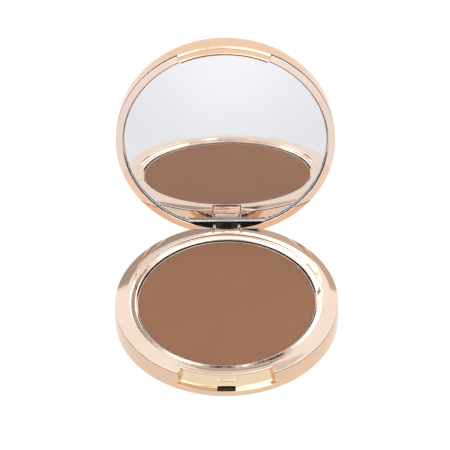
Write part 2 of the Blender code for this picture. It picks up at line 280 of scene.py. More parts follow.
def prism(name, outline, half_width):
    """A (y, z) outline run along X, half_width each side of the middle."""
    bm = bmesh.new()
    a, b = [add_points(bm, [(x, y, z) for y, z in outline]) for x in (-half_width, half_width)]
    bm.faces.new(a)
    bm.faces.new(b)
    bridge(bm, a, b)
    bmesh.ops.recalc_face_normals(bm, faces=bm.faces[:])
    return to_object(name, bm)


def apply_modifiers(ob, sharp=32.0):
    bpy.context.view_layer.update()
    depsgraph = bpy.context.evaluated_depsgraph_get()
    depsgraph.update()
    mesh = bpy.data.meshes.new_from_object(ob.evaluated_get(depsgraph))
    old = ob.data
    ob.modifiers.clear()
    ob.data = mesh
    bpy.data.meshes.remove(old)
    smooth(mesh, sharp)


def cut(ob, tool):
    """Take the tool's shape out of the object, and drop the tool."""
    boolean = ob.modifiers.new("bool", "BOOLEAN")
    boolean.operation = "DIFFERENCE"
    boolean.solver = "EXACT"
    boolean.object = tool
    apply_modifiers(ob)
    bpy.data.objects.remove(tool, do_unlink=True)


def join(name, obs):
    """Several meshes into one object; materials are kept by slot."""
    bm = bmesh.new()
    materials = []
    for ob in obs:
        slots = {}
        for i, material in enumerate(ob.data.materials):
            if material not in materials:
                materials.append(material)
            slots[i] = materials.index(material)
        before = len(bm.faces)
        bm.from_mesh(ob.data)
        bm.faces.ensure_lookup_table()
        for face in bm.faces[before:]:
            face.material_index = slots.get(face.material_index, 0)
        bpy.data.objects.remove(ob, do_unlink=True)
    mesh = bpy.data.meshes.new(name)
    bm.to_mesh(mesh)
    bm.free()
    for material in materials:
        mesh.materials.append(material)
    return link_mesh(name, mesh)


def dress(ob, *materials):
    ob.data.materials.clear()
    for material in materials:
        ob.data.materials.append(material)
    return ob


def paint(ob, pick):
    """pick(centre, radius, degrees from the front, normal) gives a face's slot, or None to leave it."""
    for face in ob.data.polygons:
        c = face.center / MM
        angle = abs(degrees(math.atan2(c.x, -c.y)))
        slot = pick(c, math.hypot(c.x, c.y), angle, face.normal)
        if slot is not None:
            face.material_index = slot


# =============================================================================================
# node graphs
# =============================================================================================
class Graph:
    """A node tree whose inputs take either a value or another node's output."""

    def __init__(self, tree):
        self.tree = tree

    def feed(self, node, inputs):
        for key, value in inputs.items():
            if isinstance(value, bpy.types.NodeSocket):
                self.tree.links.new(value, node.inputs[key])
            else:
                node.inputs[key].default_value = value

    def node(self, kind, inputs=None, **props):
        made = self.tree.nodes.new(kind)
        for key, value in props.items():
            setattr(made, key, value)
        self.feed(made, inputs or {})
        return made

    def math(self, operation, *values):
        return self.node("ShaderNodeMath", dict(enumerate(values)), operation=operation).outputs[0]

    def mix(self, factor, a, b, **props):
        inputs = {"Factor": factor, "A": a, "B": b}
        return self.node("ShaderNodeMix", inputs, **props).outputs["Result"]

    def camera_ray(self):
        return self.node("ShaderNodeLightPath").outputs["Is Camera Ray"]


class Material(Graph):
    """A principled material fed by procedural textures. Scales are per metre, bumps in metres."""

    def __init__(self, name):
        self.material = bpy.data.materials.new(name)
        self.material.use_nodes = True
        super().__init__(self.material.node_tree)

    def coords(self):
        return self.node("ShaderNodeTexCoord").outputs["Object"]

    def noise(self, scale, detail=4.0, rough=0.55, at=None):
        inputs = {"Scale": scale, "Detail": detail, "Roughness": rough, "Vector": at or self.coords()}
        return self.node("ShaderNodeTexNoise", inputs).outputs["Fac"]

    def ramp(self, value, stops):
        """Colours by position."""
        made = self.node("ShaderNodeValToRGB", {"Fac": value})
        elements = made.color_ramp.elements
        while len(elements) > 1:
            elements.remove(elements[-1])
        for i, (position, colour) in enumerate(stops.items()):
            if i == 0:
                elements[0].position = position
                element = elements[0]
            else:
                element = elements.new(position)
            element.color = (*colour, 1)
        return made.outputs["Color"]

    def spread(self, value, low, high):
        """The middle of a noise's range stretched over low..high."""
        inputs = {"From Min": 0.3, "From Max": 0.7, "To Min": low, "To Max": high, "Value": value}
        return self.node("ShaderNodeMapRange", inputs).outputs["Result"]

    def bump(self, height, distance, over=None):
        inputs = {"Distance": distance, "Height": height}
        if over is not None:
            inputs["Normal"] = over
        return self.node("ShaderNodeBump", inputs).outputs["Normal"]

    def surface(self, inputs):
        self.feed(self.tree.nodes["Principled BSDF"], inputs)
        return self.material


# =============================================================================================
# materials
# =============================================================================================
def grey(level):
    return (level, level, level)


def metallised(name, colour, rough=0.035, shift=0.0):
    """A mirror-bright tinted film over a moulding: slightly wavy, with a varying haze and a very
    fine grain. shift moves the noise scales, so that pieces differ."""
    m = Material(name)
    dark = tuple(c * 0.975 for c in colour)
    light = tuple(min(1, c * 1.015) for c in colour)
    wave = m.bump(m.noise(scale=260.0 + shift, detail=1.5, rough=0.4), distance=0.0000035)
    haze = m.noise(scale=420.0 + shift, detail=5.0, rough=0.6)
    fine = m.noise(scale=5200.0, detail=2.0, rough=0.5)
    return m.surface({
        "Metallic": 1.0,
        "Base Color": m.ramp(m.noise(scale=90.0 + shift, detail=2.0), {0.3: dark, 0.7: light}),
        "Roughness": m.spread(haze, low=rough * 0.6, high=rough * 1.9),
        "Normal": m.bump(fine, distance=0.0000003, over=wave),
    })


def powder_material():
    """Pressed powder: dead matt, with fine grain, faint mottling and paler specks."""
    m = Material("pressed_powder")
    at = m.coords()
    grain = m.noise(scale=9000.0, detail=6.0, rough=0.7, at=at)
    mottle = m.noise(scale=900.0, detail=4.0, rough=0.6, at=at)
    broad = m.noise(scale=70.0, detail=3.0, rough=0.5, at=at)
    base = m.ramp(broad, {0.3: (0.263, 0.124, 0.068), 0.7: (0.282, 0.134, 0.074)})
    specks = m.ramp(grain, {0.32: grey(0.90), 0.52: grey(1.0), 0.72: (1.07, 1.07, 1.08)})
    patches = m.ramp(mottle, {0.3: grey(0.97), 0.7: grey(1.02)})
    multiply = {"data_type": "RGBA", "blend_type": "MULTIPLY"}
    speckled = m.mix(1.0, base, specks, **multiply)
    return m.surface({
        "Base Color": m.mix(1.0, speckled, patches, **multiply),
        "Roughness": 0.92,
        "Specular IOR Level": 0.18,
        "Sheen Weight": 0.06,
        "Sheen Roughness": 0.6,
        "Normal": m.bump(grain, distance=0.000012, over=m.bump(mottle, distance=0.00002)),
    })


def drawn_metal(name, colour, rough):
    m = Material(name)
    dark = tuple(c * 0.9 for c in colour)
    return m.surface({
        "Metallic": 1.0,
        "Base Color": m.ramp(m.noise(scale=600.0), {0.3: dark, 0.7: colour}),
        "Roughness": m.spread(m.noise(scale=2500.0), low=rough * 0.7, high=rough * 1.3),
        "Normal": m.bump(m.noise(scale=3500.0, detail=3.0), distance=0.000002),
    })


def silver_material():
    m = Material("mirror_silver")
    tone = {0.3: (0.885, 0.88, 0.90), 0.7: (0.895, 0.89, 0.91)}
    return m.surface({
        "Metallic": 1.0,
        "Roughness": 0.0,
        "Base Color": m.ramp(m.noise(scale=30.0, detail=2.0), tone),
    })


def glass_material():
    m = Material("mirror_glass")
    tone = {0.3: (0.990, 0.996, 0.996), 0.7: (0.996, 1.0, 1.0)}
    return m.surface({
        "Transmission Weight": 1.0,
        "IOR": 1.5,
        "Roughness": 0.0,
        "Base Color": m.ramp(m.noise(scale=40.0, detail=2.0), tone),
    })


def ground_edge_material():
    """The mirror's ground edge: bright, mottled grey."""
    m = Material("mirror_ground_edge")
    mottle = m.noise(scale=3200.0, detail=3.0, rough=0.6)
    return m.surface({
        "Base Color": m.ramp(mottle, {0.33: (0.74, 0.74, 0.76), 0.5: grey(0.98)}),
        "Metallic": 0.2,
        "Roughness": 0.5,
    })


def paper_material():
    m = Material("label_paper")
    fibres = m.noise(scale=1500.0, detail=6.0, rough=0.7)
    tooth = m.noise(scale=2500.0, detail=5.0, rough=0.7)
    return m.surface({
        "Base Color": m.ramp(fibres, {0.3: (0.83, 0.81, 0.77), 0.7: (0.90, 0.88, 0.84)}),
        "Roughness": 0.55,
        "Normal": m.bump(tooth, distance=0.000012),
    })


def glue_material():
    m = Material("adhesive")
    tone = {0.3: (0.78, 0.74, 0.66), 0.7: (0.86, 0.83, 0.76)}
    return m.surface({
        "Base Color": m.ramp(m.noise(scale=900.0), tone),
        "Roughness": 0.5,
        "Normal": m.bump(m.noise(scale=1200.0), distance=0.00003),
    })


def foam_material():
    """Open-cell foam: soot black, pitted."""
    m = Material("black_foam")
    voronoi = m.node("ShaderNodeTexVoronoi", {"Scale": 2600.0, "Vector": m.coords()})
    cells = voronoi.outputs["Distance"]
    return m.surface({
        "Base Color": m.ramp(cells, {0.1: (0.030, 0.028, 0.024), 0.6: (0.010, 0.010, 0.009)}),
        "Roughness": 0.85,
        "Specular IOR Level": 0.2,
        "Normal": m.bump(cells, distance=0.00008),
    })


def painted_shade_material(name, dark, light):
    """Painted shade for pockets, gaps and hidden faces: a dark, semi-gloss colour standing in for the
    shade there.
    """
    m = Material(name)
    at = m.coords()
    gloss = m.noise(scale=1800.0, detail=3.0, rough=0.5, at=at)
    grain = m.noise(scale=2400.0, detail=3.0, rough=0.5, at=at)
    return m.surface({
        "Base Color": m.ramp(m.noise(scale=700.0, rough=0.6, at=at), {0.3: dark, 0.7: light}),
        "Roughness": m.spread(gloss, low=0.32, high=0.5),
        "Normal": m.bump(grain, distance=0.000006),
    })


ROSE = metallised("rose_gold_shell", colour=(0.855, 0.595, 0.42))
PALE = metallised("pale_rose_gold_frame", colour=(0.925, 0.765, 0.66), shift=13.0)
# painted bounce light: a yellower copy of the film on the notch wall, giving the gold of light bounced
# round the notch
PAINTED_BOUNCE_GOLD = metallised("notch_gold_painted_bounce", colour=(0.93, 0.735, 0.50), shift=29.0)
# partly painted highlight: a lighter copy of the rose film on the tab's shoulder and chamfer, made
# rougher to soften the highlight
TAB_EDGE = metallised("rose_gold_soft_corner", colour=(0.90, 0.66, 0.48), rough=0.2, shift=5.0)
POWDER = powder_material()
ALU = drawn_metal("pan_aluminium", colour=(0.80, 0.78, 0.76), rough=0.28)
STEEL = drawn_metal("hinge_steel", colour=(0.62, 0.62, 0.64), rough=0.25)
FOAM = foam_material()
# painted shade: a near-black colour for the lug's pocket, the seat beside the hinge and the parting
# gaps
PAINTED_SHADE_BLACK = painted_shade_material("painted_shade_black", dark=(0.020, 0.021, 0.015), light=(0.032, 0.033, 0.024))
# painted shade: a dark brown colour for the notch slot, the lip's underside and the cup rim beneath it
PAINTED_SHADE_BROWN = painted_shade_material("painted_shade_brown", dark=(0.045, 0.028, 0.014), light=(0.085, 0.055, 0.030))
SILVER, GLASS, GROUND = silver_material(), glass_material(), ground_edge_material()
PAPER, GLUE = paper_material(), glue_material()

# =============================================================================================
# base frame: rim band, stepped ring, notch back wall, hinge gap
# =============================================================================================
RING_IN, RING_Z = 30.62, 7.31           # bore and top of the inner step
BAND_IN, BAND_IN_Z = 33.0, 8.07         # the rim band slopes down from here
BAND_OUT, BAND_OUT_Z = 37.45, 7.5       # to here
LIP_R, LIP_Z = 37.75, 7.23              # the rim's outer lip and its underside
SKIRT_R = 36.45                         # the frame's wall below the lip
SKIRT_Z = 6.9                           # top of the wall's even rows, and of the cove
FOOT_Z = 1.1
NOTCH = 25.4                            # half angle of the front notch, degrees
BACK_WALL = 35.4                        # radius of the notch's back wall
DRAFT = 0.02                            # how far the back wall's top leans in, per step
GAP, GAP_Y = 5.05, 33.0                 # hinge gap: half width, and the plane where the ring stops
BASE_EDGE = 0.14                        # rounding of the notch and gap edges
COVE_ROWS = 26
BEAD_HALF, BEAD_HALF_Z = 3.05, 0.62     # catch bead: half length and half height
BEAD_PROUD, BEAD_Z = 0.58, 5.275
SLOT_HALF, SLOT_OUT = BEAD_HALF, 37.74  # slot in the notch floor, below the bead


def cove_path():
    """The back wall leans out slowly, turns, and runs out to the lip as a gentle slope."""
    r, z = BACK_WALL, SKIRT_Z
    points = [(r, z)]
    # (length, degrees from upright) of each straight piece
    pieces = [(3.9 / 12, 24.0 * (i + 0.5) / 12) for i in range(12)]
    pieces += [(0.75 / 10, 24.0 + 49.0 * (i + 0.5) / 10) for i in range(10)]
    reach = BACK_WALL + sum(length * sin(rad(tilt)) for length, tilt in pieces)
    rest = (37.78 - reach) / sin(rad(74.0))
    pieces += [(rest / 4, 74.0)] * 4
    for length, tilt in pieces:
        r, z = r + length * sin(rad(tilt)), z - length * cos(rad(tilt))
        points.append((r, z))
    return points


def band_z(r):
    t = max(0.0, (r - BAND_IN) / (BAND_OUT - BAND_IN))
    return BAND_IN_Z - (BAND_IN_Z - BAND_OUT_Z) * t**1.6


def relief(x, y, z):
    """The back of the rim falls away behind the hinge, so that the lid can swing past."""
    if y < 34.5 or abs(x) > 15:
        return (x, y, z)
    limit = 7.8 - (y - 35.9) * 0.94
    softness = 0.12
    h = max(softness - abs(z - limit), 0.0) / softness
    return (x, y, min(z, limit) - h * h * softness * 0.25)


# bore, inner step and the rise to the band, shared by all the frame's sections
HEAD = rounded_path([
    (RING_IN, 2.0, 0), (RING_IN, RING_Z, 0.36), (32.40, RING_Z, 0.05), (32.66, 8.1, 0.14),
    (34.0, band_z(34.0), 0),
])[:-7]


def frame_plain():
    band = curve(band_z, 33.05, 37.25)
    lip = bends([(37.25, band_z(37.25), 0), (LIP_R, 7.44, 0.17), (LIP_R, LIP_Z, 0.04),
                 (SKIRT_R, LIP_Z, 0)])
    wall = [(SKIRT_R, SKIRT_Z - 4.5 * i / COVE_ROWS) for i in range(COVE_ROWS + 1)]
    return HEAD + band + lip + wall + [(BACK_WALL, 2.4), (BACK_WALL, FOOT_Z), (RING_IN, FOOT_Z)]


def frame_notch():
    top = BACK_WALL - DRAFT * 2.7
    band = curve(band_z, 33.05, BACK_WALL - 0.35)
    brow = bends([(top - 0.35, band_z(top - 0.35), 0), (top, band_z(top), 0.18),
                  (BACK_WALL - DRAFT, 7.2, 0.05), (BACK_WALL, 7.0, 0)])
    cove = cove_path()
    return HEAD + band + brow + cove + [(cove[-1][0], 2.2), (BACK_WALL, FOOT_Z), (RING_IN, FOOT_Z)]


def frame_gap(x):
    """In the hinge gap the ring stops at the plane y = GAP_Y."""
    r = sqrt(GAP_Y**2 + x * x)
    band = curve(band_z, 32.9, r - 0.16)
    edge = bends([(r - 0.16, band_z(r - 0.16), 0), (r, band_z(r), 0.12), (r, 6.0, 0.05), (r, 5.0, 0)])
    wall = [(r, 5.0 - 3.0 * i / COVE_ROWS) for i in range(COVE_ROWS + 1)]
    return HEAD + band + edge + wall + [(r, 1.9), (r, FOOT_Z), (RING_IN, FOOT_Z)]


def slot_tool(inner_y, z0, z1):
    outline = [(-SLOT_OUT, z0), (inner_y, z0), (inner_y, z1), (-SLOT_OUT, z1)]
    return prism("slot_tmp", outline, SLOT_HALF)


def frame_finish(c, r, angle, normal):
    """Slots: 0 pale, 1 notch gold, a yellower tint as painted light bounced round the notch, 2 painted
    shade in the slot, on its ends and under the lip, 3 rose.
    """
    in_slot = abs(c.x) < SLOT_HALF + 0.01 and -SLOT_OUT - 0.02 < c.y < -36.05 and c.z < 2.2
    slot_end = abs(abs(c.x) - SLOT_HALF) < 0.01 and r > 35.9
    under_lip = abs(c.z - LIP_Z) < 0.02 and SKIRT_R < r < 37.74 and normal.z < -0.9
    # painted shade: the slot, its ends and the lip's underside are coloured dark
    if in_slot or slot_end or under_lip:
        return 2
    in_notch = angle < NOTCH + 0.02 and r > BACK_WALL - 0.12 and c.z < 7.6
    # below z 7 the notch wall takes the gold tint of painted bounce light
    if in_notch and abs(normal.z) < 0.9999 and (r > BACK_WALL - 0.03 or c.z < 7.5):
        return 1 if c.z < 7.0 else 3
    return None


def catch_bead():
    """A half-round bar with rounded ends on the notch's back wall."""
    columns, rows = 72, 24
    bm = bmesh.new()
    grid = []
    for i in range(columns + 1):
        points = []
        x = (-1.06 + 2.12 * i / columns) * BEAD_HALF
        for j in range(rows + 1):
            z = (-1.12 + 2.24 * j / rows) * BEAD_HALF_Z
            beyond = max(abs(x) - (BEAD_HALF - BEAD_HALF_Z), 0.0)
            d = sqrt(beyond * beyond + z * z) / BEAD_HALF_Z
            r = BACK_WALL + (BEAD_PROUD * (1 - d**4.0) ** 0.5 if d < 1 else -0.06)
            angle = x / BACK_WALL
            points.append((r * sin(angle), -r * cos(angle), BEAD_Z + z))
        grid.append(add_points(bm, points))
    for a, b in zip(grid, grid[1:]):
        for j in range(rows):
            bm.faces.new((a[j], b[j], b[j + 1], a[j + 1]))
    bmesh.ops.recalc_face_normals(bm, faces=bm.faces[:])
    return dress(to_object("bead_tmp", bm, sharp=70), PALE)


def build_base_frame():
    plain, notch = frame_plain(), frame_notch()
    rows = ring_sections(
        plain, lambda phi: notch, NOTCH, frame_gap, GAP, edge=BASE_EDGE,
        front_span=(len(HEAD) + 6, len(plain) - 2), back_span=(len(HEAD) + 1, len(plain) - 2),
        adjust=relief)
    ring = dress(loft("rim_frame", rows, closed_path=True), PALE, PAINTED_BOUNCE_GOLD, PAINTED_SHADE_BROWN, ROSE)
    cut(ring, slot_tool(-36.1, 1.5, 3.9))
    paint(ring, frame_finish)
    ob = join("rim_frame", [ring, catch_bead()])
    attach(ob, "base")
    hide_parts("base_frame")


build_base_frame()

# =============================================================================================
# base cup
# =============================================================================================
CUP_FLOOR = 1.0
CUP_TOP = 6.93
CUP_WALL_IN = 36.5
CUP_NOTCH_Z = 2.3           # top of the notch's floor
RECESS_R, RECESS_Z = 26.2, 0.2


def wall_r(z):
    """The outer wall leans in slightly towards its top."""
    return OUTER_R - 0.25 * (max(z - 2.6, 0.0) / 4.48) ** 2


def cup_path(inner_r, top_corners, side_top):
    floor_top = [(0, CUP_FLOOR), (34.0, CUP_FLOOR), (inner_r, CUP_FLOOR)]
    side = [(wall_r(z), z) for z in np.linspace(side_top, 0.62, 12)]
    heel = bends([(OUTER_R, 0.7, 0), (OUTER_R, 0.0, 0.42), (30.0, 0.0, 0)])
    recess = bends([(30.0, 0, 0), (RECESS_R, 0.0, 0.05), (RECESS_R, RECESS_Z, 0.03),
                    (20.0, RECESS_Z, 0)])
    under = [(30.0, 0.0)] + recess + [(20.0, RECESS_Z), (0, RECESS_Z)]
    return floor_top + bends([(inner_r, CUP_FLOOR, 0)] + top_corners) + side + heel + under


def cup_finish(c, r, angle, normal):
    # painted shade: the slot's inside and the rim's top face, hidden under the frame's lip, are
    # coloured dark
    in_slot = (abs(c.x) < SLOT_HALF + 0.01 and -SLOT_OUT - 0.02 < c.y < -34.9
               and 1.1 < c.z < CUP_NOTCH_Z - 0.02)
    rim_top = abs(c.z - CUP_TOP) < 0.02 and 36.45 < r < 37.72 and normal.z > 0.9
    return 1 if in_slot or rim_top else None


def build_base_cup():
    plain = cup_path(CUP_WALL_IN, [(CUP_WALL_IN, CUP_TOP, 0.05), (wall_r(CUP_TOP), CUP_TOP, 0.05),
                                   (wall_r(6.7), 6.7, 0)], side_top=6.78)
    notch = cup_path(35.3, [(35.3, CUP_NOTCH_Z, 0.0), (wall_r(CUP_NOTCH_Z), CUP_NOTCH_Z, 0.12),
                            (wall_r(1.9), 1.9, 0)], side_top=1.98)
    gap = cup_path(36.0, [(36.3, 1.1, 0.0), (OUTER_R, 1.1, 0.12), (OUTER_R, 0.9, 0)], side_top=0.88)
    wall_span = (4, 30)
    rows = ring_sections(plain, lambda phi: notch, NOTCH, lambda x: gap, GAP, edge=BASE_EDGE,
                         front_span=wall_span, back_span=wall_span, adjust=relief)
    ob = dress(loft("base_cup", rows), ROSE, PAINTED_SHADE_BROWN)
    cut(ob, slot_tool(-35.0, 1.15, 3.3))
    paint(ob, cup_finish)
    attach(ob, "base")
    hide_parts("base_shell")


build_base_cup()

# =============================================================================================
# pan and powder
# =============================================================================================
PAN_R, PAN_WALL_IN = 30.2, 29.95
PAN_Z0, PAN_FLOOR, PAN_TOP = 3.1, 3.5, 6.6
CAKE_R, CAKE_TOP, CAKE_Z0 = 29.88, 6.76, 3.56
CAKE_MAX_R = 29.9
CAKE_EDGE_R = 29.0          # the cake's edge starts to fall away here
CAKE_COLUMNS = 240


def build_pan():
    """A shallow tin with a softened lip."""
    path = rounded_path([
        (0, PAN_Z0, 0), (PAN_R, PAN_Z0, 0.4), (PAN_R, PAN_TOP, 0.1), (PAN_WALL_IN, PAN_TOP, 0.1),
        (PAN_WALL_IN, PAN_FLOOR, 0.25), (0, PAN_FLOOR, 0)])
    ob = dress(loft("godet_pan", ring_sections(path, step=1.0)), ALU)
    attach(ob, "base")
    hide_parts("powder_pan")


def build_powder():
    """Pressed cake, its edge slightly broken, its surface faintly uneven."""
    rng = np.random.RandomState(7)
    phases = rng.rand(8) * 6.28
    waves_x = rng.randn(8) * 0.22
    waves_y = rng.randn(8) * 0.22
    noise = np.tile(rng.randn(CAKE_COLUMNS), 3)
    smoothed = np.convolve(noise, np.ones(5) / 5, "same")
    chips = 0.012 * smoothed[CAKE_COLUMNS:2 * CAKE_COLUMNS]

    def uneven(x, y):
        return sum(sin(waves_x[i] * x + waves_y[i] * y + phases[i]) for i in range(8)) * 0.0022

    top_radii = [0.0] + list(np.linspace(1.5, 28.5, 19)) + [29.1, 29.4, 29.6, 29.74, 29.83, CAKE_R]
    rows = []
    for i in range(CAKE_COLUMNS):
        angle = 2 * pi * i / CAKE_COLUMNS
        row = []
        for r in top_radii:
            drop = 0.0
            if r > CAKE_EDGE_R:
                drop = 0.16 * ((r - CAKE_EDGE_R) / 0.88) ** 2.2
            wave = uneven(r * cos(angle), r * sin(angle)) * (1 if r < 29.5 else 0.4)
            chipped = min(r + (chips[i] if r > 29.5 else 0.0), CAKE_MAX_R)
            row.append((chipped * cos(angle), chipped * sin(angle), CAKE_TOP - drop + wave))
        side_r = min(CAKE_R + chips[i], CAKE_MAX_R)
        row += [(side_r * cos(angle), side_r * sin(angle), z) for z in (6.3, CAKE_Z0)]
        row.append((0.0, 0.0, CAKE_Z0))
        rows.append(row)
    ob = dress(loft("powder_cake", rows), POWDER)
    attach(ob, "base")
    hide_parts("pressed_powder")


build_pan()
build_powder()

# =============================================================================================
# lid shell, with a tab that drops into the front notch
# =============================================================================================
CROWN = 15.75
LID_R, LID_LOW = 37.68, 9.06
LID_WALL_IN = 36.56
TAB_IN, TAB_OUT, TAB_LOW = 36.1, 37.1, 4.85
TAB = 24.9                  # half angle of the tab, degrees
TAB_CORNER = 1.5            # angle taken by the rounding of its lower corners, degrees


def lid_top():
    dome = [(0.0, CROWN)]
    dome += [(r, CROWN - 0.35 * (r / 36.0) ** 2) for r in np.linspace(3, 35.6, 14)]
    edge = bends([(35.6, CROWN - 0.345, 0), (37.55, CROWN - 0.40, 1.05), (LID_R, 12.5, 0)])
    side = [(37.60 + 0.12 * (1 - ((z - 10.2) / 4.2) ** 2), z) for z in np.linspace(13.6, 9.4, 8)]
    return dome + edge + side


LID_TOP = lid_top()


def lid_inside(r):
    return [(r, 14.3), (36.0, 14.35), (0, 14.5)]


def lid_plain():
    low = bends([(37.69, 9.3, 0), (LID_R, LID_LOW, 0.02), (LID_WALL_IN, LID_LOW, 0.02),
                 (LID_WALL_IN, 12.0, 0)], segments=6)
    wall = [(LID_WALL_IN, 9.1 + 0.02 * i) for i in range(9)]
    return LID_TOP + low + wall + lid_inside(LID_WALL_IN)


def lid_tab(phi):
    beyond = max(abs(phi) - (TAB - TAB_CORNER), 0.0) / TAB_CORNER
    low = TAB_LOW + 0.95 * (1 - sqrt(max(1 - beyond * beyond, 0.0)))
    shoulder = bends([(37.69, 9.3, 0), (LID_R, 8.60, 0.06), (TAB_OUT, 8.10, 0.06),
                      (TAB_OUT, 7.0, 0)], segments=6)
    # the tab's end: an outer chamfer, then a face that rises towards the inside
    end = [
        (TAB_OUT, low + 0.42), (TAB_OUT, low + 0.33), (TAB_OUT - 0.02, low + 0.29),
        (TAB_OUT - 0.32, low + 0.03), (TAB_OUT - 0.36, low), (TAB_OUT - 0.42, low + 0.01),
        (TAB_IN + 0.08, low + 0.14), (TAB_IN, low + 0.22), (TAB_IN, low + 0.4),
    ]
    return LID_TOP + shoulder + end + lid_inside(TAB_IN)


def lid_finish(c, r, angle, normal):
    """Slots: 0 rose, 1 painted shade in the parting gap under the shell's edge, 2 soft corner with a
    lighter tint as painted highlight.
    """
    # painted shade: the underside of the shell's edge beside the tab is coloured near black
    if angle > TAB and 36.5 < r < 37.672 and 9.02 < c.z < 9.09:
        return 1
    on_shoulder = angle < TAB and 37.09 < r < 37.675 and 8.1 < c.z < 8.6
    on_chamfer = angle < TAB - 1.6 and 36.76 < r < 37.09 and c.z < 5.2 and normal.z < -0.2
    return 2 if on_shoulder or on_chamfer else None


def build_lid_cup():
    ob = dress(loft("lid_cup", ring_sections(lid_plain(), lid_tab, TAB)), ROSE, PAINTED_SHADE_BLACK, TAB_EDGE)
    paint(ob, lid_finish)
    ob.data.transform(LID_POSE)
    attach(ob, "lid")
    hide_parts("lid_shell")


build_lid_cup()

# =============================================================================================
# lid frame round the mirror, with the hinge lug
# =============================================================================================
OPENING = 35.3              # radius of the mirror opening
SEAT_Z = 10.55              # flat face above the opening, in the closed lid
FRAME_CUT = 25.2            # half angle over which the frame is narrower, degrees
FRAME_EDGE_Z = 8.31
LUG_R, LUG_HALF = 2.4, 4.8
CORE_HALF = 3.75
BORE_R = 0.58
LUG_FRONT, LUG_BACK, LUG_TOP, LUG_FOOT = 35.4, 37.35, 10.6, 8.3


def lid_frame_path(outer_corners):
    opening = [(35.2, SEAT_Z, 0), (OPENING, SEAT_Z, 0.0), (OPENING, SPLIT_Z, 0.1)]
    return [(0, SEAT_Z), (34.9, SEAT_Z)] + rounded_path(opening + outer_corners) + [(0, 11.5)]


def lid_frame_finish(c, r, angle, normal):
    # painted shade: the seat beside the hinge, behind the mirror's straight edge, and the frame's outer
    # edge in the parting gap are coloured near black
    seat_at_hinge = abs(c.z - SEAT_Z) < 0.02 and angle > 180 - 9.5
    outer_edge = abs(c.z - FRAME_EDGE_Z) < 0.03 and 36.45 < r < 37.66
    return 1 if seat_at_hinge or outer_edge else None


def lug_finish(c, r, angle, normal):
    # painted shade: the walls of the cored pocket and the top of the lug's front face are coloured near
    # black
    core_wall = (abs(c.x) < 3.72 and 34.9 < c.y < 35.3 and c.z > 4.4 and abs(normal.x) < 0.5
                 and (normal.y < -0.8 or c.z > 5.9))
    return 1 if core_wall or (c.z > 10.2 and 34.9 < c.y < 35.5) else None


def hinge_lug():
    """A barrel round the pin with two cheeks and a cored-out pocket."""
    outline = [(PIN_Y - LUG_R, LUG_TOP)]
    for i in range(22):
        angle = rad(180 + i * 6.2)
        y, z = PIN_Y + LUG_R * cos(angle), PIN_Z + LUG_R * sin(angle)
        if y < LUG_BACK - 0.05:
            outline.append((y, z))
    outline += [(LUG_BACK, PIN_Z - sqrt(LUG_R * LUG_R - (LUG_BACK - PIN_Y) ** 2)),
                (LUG_BACK, LUG_FOOT), (LUG_FRONT, LUG_FOOT), (LUG_FRONT, LUG_TOP)]
    lug = prism("lug_tmp", outline, LUG_HALF)
    core = [(32.5, 4.55), (34.5, 5.1), (35.26, 6.0), (35.26, 11.2), (32.5, 11.2)]
    cut(lug, prism("core_tmp", core, CORE_HALF))
    turns = [2 * pi * i / 32 for i in range(32)]
    bore = [(PIN_Y + BORE_R * cos(a), PIN_Z + BORE_R * sin(a)) for a in turns]
    cut(lug, prism("bore_tmp", bore, 6))
    bevel = lug.modifiers.new("edge_round", "BEVEL")
    bevel.width = 0.24 * MM
    bevel.segments = 3
    bevel.limit_method = "ANGLE"
    bevel.angle_limit = rad(40)
    bevel.harden_normals = False
    bevel.miter_outer = "MITER_ARC"
    apply_modifiers(lug, sharp=35)
    dress(lug, PALE, PAINTED_SHADE_BLACK)
    paint(lug, lug_finish)
    return lug


def build_lid_frame():
    plain = lid_frame_path([(LID_R, SPLIT_Z, 0.2), (LID_R, FRAME_EDGE_Z, 0.02),
                            (36.5, FRAME_EDGE_Z, 0.0), (36.5, 11.4, 0)])
    narrow_r = 36.05
    narrow = lid_frame_path([(narrow_r, SPLIT_Z, 0.08), (narrow_r, 8.6, 0.0),
                             (narrow_r, 9.5, 0.0), (narrow_r, 11.4, 0)])
    outer_start = 2 + 7 * 3 + 1         # second point of the outer lower corner
    rows = ring_sections(plain, lambda phi: narrow, FRAME_CUT, edge=0.05,
                         front_span=(outer_start, len(plain) - 2))
    ring = dress(loft("face_tmp", rows), PALE, PAINTED_SHADE_BLACK)
    lug = hinge_lug()
    paint(ring, lid_frame_finish)
    ob = join("mirror_frame", [ring, lug])
    ob.data.transform(LID_POSE)
    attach(ob, "lid")
    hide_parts("lid_frame")


build_lid_frame()

# =============================================================================================
# mirror: glass with a fine chamfer, silver behind it, a ground edge round it
# =============================================================================================
GLASS_R, GLASS_CHORD = 34.95, 32.5      # round, cut straight on the hinge side at y = GLASS_CHORD
GLASS_Z0, GLASS_Z1 = 8.67, 10.0         # front and back of the glass, in the closed lid
CHAMFER = 0.18
SILVER_INSET = 0.12
SILVER_Z0, SILVER_Z1 = GLASS_Z1 + 0.004, GLASS_Z1 + 0.05
EDGE_IN, EDGE_OUT = 0.006, 0.05         # the ground edge's faces, outside the glass


def mirror_outline(r, chord, z):
    half = degrees(math.atan2(sqrt(r * r - chord * chord), -chord))
    angles = [rad(-half + 2 * half * i / 360) for i in range(361)]
    arc = [(r * sin(a), -r * cos(a), z) for a in angles]
    x = arc[-1][0]
    return arc + [(x - 2 * x * i / 24, chord, z) for i in range(1, 24)]


def mirror_slab(name, layers, material, capped=True):
    """layers: (growth of the radius, growth of the chord, z)"""
    outlines = [mirror_outline(GLASS_R + dr, GLASS_CHORD + dc, z) for dr, dc, z in layers]
    return dress(stack(name, outlines, sharp=8, capped=capped), material)


